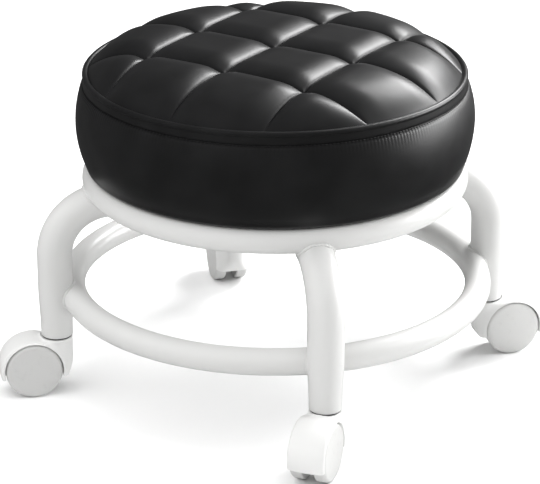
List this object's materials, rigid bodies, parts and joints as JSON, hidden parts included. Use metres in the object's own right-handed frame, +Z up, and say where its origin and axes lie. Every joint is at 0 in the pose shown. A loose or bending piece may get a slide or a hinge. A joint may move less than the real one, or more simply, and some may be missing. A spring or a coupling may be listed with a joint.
{
  "type": "rolling stool",
  "caption": "Low rolling pedicure stool: round quilted vinyl seat on a white tube frame with a foot ring and twin-wheel swivel casters.",
  "frame": {"origin": "on the floor, straight below the middle of the seat", "axes": "+Z up; the four legs stand on the X and Y axes, with the front leg at -Y"},
  "size_m": [0.4755, 0.4746, 0.3],
  "materials": {
    "black_vinyl": "satin grained vinyl, stitched",
    "white_paint": "gloss powder coat",
    "white_plastic": "moulded, semi-gloss",
    "wheel_plastic": "moulded, satin",
    "black_plastic": "moulded",
    "plywood": "bare",
    "foam": "open-cell foam",
    "dust_cloth": "non-woven cloth",
    "zinc_steel": "bright zinc plate"
  },
  "bodies": {
    "stool": {"quilted_top": "black_vinyl", "side_band": "black_vinyl", "welt": "black_vinyl", "seat_foam": "foam", "seat_board": "plywood", "dust_cover": "dust_cloth", "tee_nut_1": "zinc_steel", "washer_1": "zinc_steel", "seat_screw_1": "zinc_steel", "seat_tab_1": "white_paint", "tee_nut_2": "zinc_steel", "washer_2": "zinc_steel", "seat_screw_2": "zinc_steel", "seat_tab_2": "white_paint", "tee_nut_3": "zinc_steel", "washer_3": "zinc_steel", "seat_screw_3": "zinc_steel", "seat_tab_3": "white_paint", "tee_nut_4": "zinc_steel", "washer_4": "zinc_steel", "seat_screw_4": "zinc_steel", "seat_tab_4": "white_paint", "upper_ring": "white_paint", "lower_ring": "white_paint", "leg_front": "white_paint", "leg_plug_front": "black_plastic", "leg_right": "white_paint", "leg_plug_right": "black_plastic", "leg_back": "white_paint", "leg_plug_back": "black_plastic", "leg_left": "white_paint", "leg_plug_left": "black_plastic"},
    "caster_front": {"caster_hood_front": "white_plastic", "caster_stem_front": "zinc_steel", "caster_axle_front": "zinc_steel"},
    "wheel_front_a": {"caster_wheel_front_a": "wheel_plastic"},
    "wheel_front_b": {"caster_wheel_front_b": "wheel_plastic"},
    "caster_right": {"caster_hood_right": "white_plastic", "caster_stem_right": "zinc_steel", "caster_axle_right": "zinc_steel"},
    "wheel_right_a": {"caster_wheel_right_a": "wheel_plastic"},
    "wheel_right_b": {"caster_wheel_right_b": "wheel_plastic"},
    "caster_back": {"caster_hood_back": "white_plastic", "caster_stem_back": "zinc_steel", "caster_axle_back": "zinc_steel"},
    "wheel_back_a": {"caster_wheel_back_a": "wheel_plastic"},
    "wheel_back_b": {"caster_wheel_back_b": "wheel_plastic"},
    "caster_left": {"caster_hood_left": "white_plastic", "caster_stem_left": "zinc_steel", "caster_axle_left": "zinc_steel"},
    "wheel_left_a": {"caster_wheel_left_a": "wheel_plastic"},
    "wheel_left_b": {"caster_wheel_left_b": "wheel_plastic"}
  },
  "joints": [
    {"name": "swivel_front", "type": "hinge", "parent": "stool", "child": "caster_front", "pos_m": [0, -0.1886, 0.0519], "axis": [0, 0, 1], "continuous": true},
    {"name": "roll_front_a", "type": "hinge", "parent": "caster_front", "child": "wheel_front_a", "pos_m": [-0.01147, -0.20667, 0.024], "axis": [0.8443, -0.5358, 0], "continuous": true},
    {"name": "roll_front_b", "type": "hinge", "parent": "caster_front", "child": "wheel_front_b", "pos_m": [-0.01147, -0.20667, 0.024], "axis": [0.8443, -0.5358, 0], "continuous": true},
    {"name": "swivel_right", "type": "hinge", "parent": "stool", "child": "caster_right", "pos_m": [0.1886, 0, 0.0519], "axis": [0, 0, 1], "continuous": true},
    {"name": "roll_right_a", "type": "hinge", "parent": "caster_right", "child": "wheel_right_a", "pos_m": [0.20997, 0.00112, 0.024], "axis": [-0.0523, 0.9986, 0], "continuous": true},
    {"name": "roll_right_b", "type": "hinge", "parent": "caster_right", "child": "wheel_right_b", "pos_m": [0.20997, 0.00112, 0.024], "axis": [-0.0523, 0.9986, 0], "continuous": true},
    {"name": "swivel_back", "type": "hinge", "parent": "stool", "child": "caster_back", "pos_m": [0, 0.1886, 0.0519], "axis": [0, 0, 1], "continuous": true},
    {"name": "roll_back_a", "type": "hinge", "parent": "caster_back", "child": "wheel_back_a", "pos_m": [-0.00037, 0.21, 0.024], "axis": [-0.9998, -0.0175, 0], "continuous": true},
    {"name": "roll_back_b", "type": "hinge", "parent": "caster_back", "child": "wheel_back_b", "pos_m": [-0.00037, 0.21, 0.024], "axis": [-0.9998, -0.0175, 0], "continuous": true},
    {"name": "swivel_left", "type": "hinge", "parent": "stool", "child": "caster_left", "pos_m": [-0.1886, 0, 0.0519], "axis": [0, 0, 1], "continuous": true},
    {"name": "roll_left_a", "type": "hinge", "parent": "caster_left", "child": "wheel_left_a", "pos_m": [-0.20999, 0.00075, 0.024], "axis": [-0.0349, -0.9994, 0], "continuous": true},
    {"name": "roll_left_b", "type": "hinge", "parent": "caster_left", "child": "wheel_left_b", "pos_m": [-0.20999, 0.00075, 0.024], "axis": [-0.0349, -0.9994, 0], "continuous": true}
  ]
}
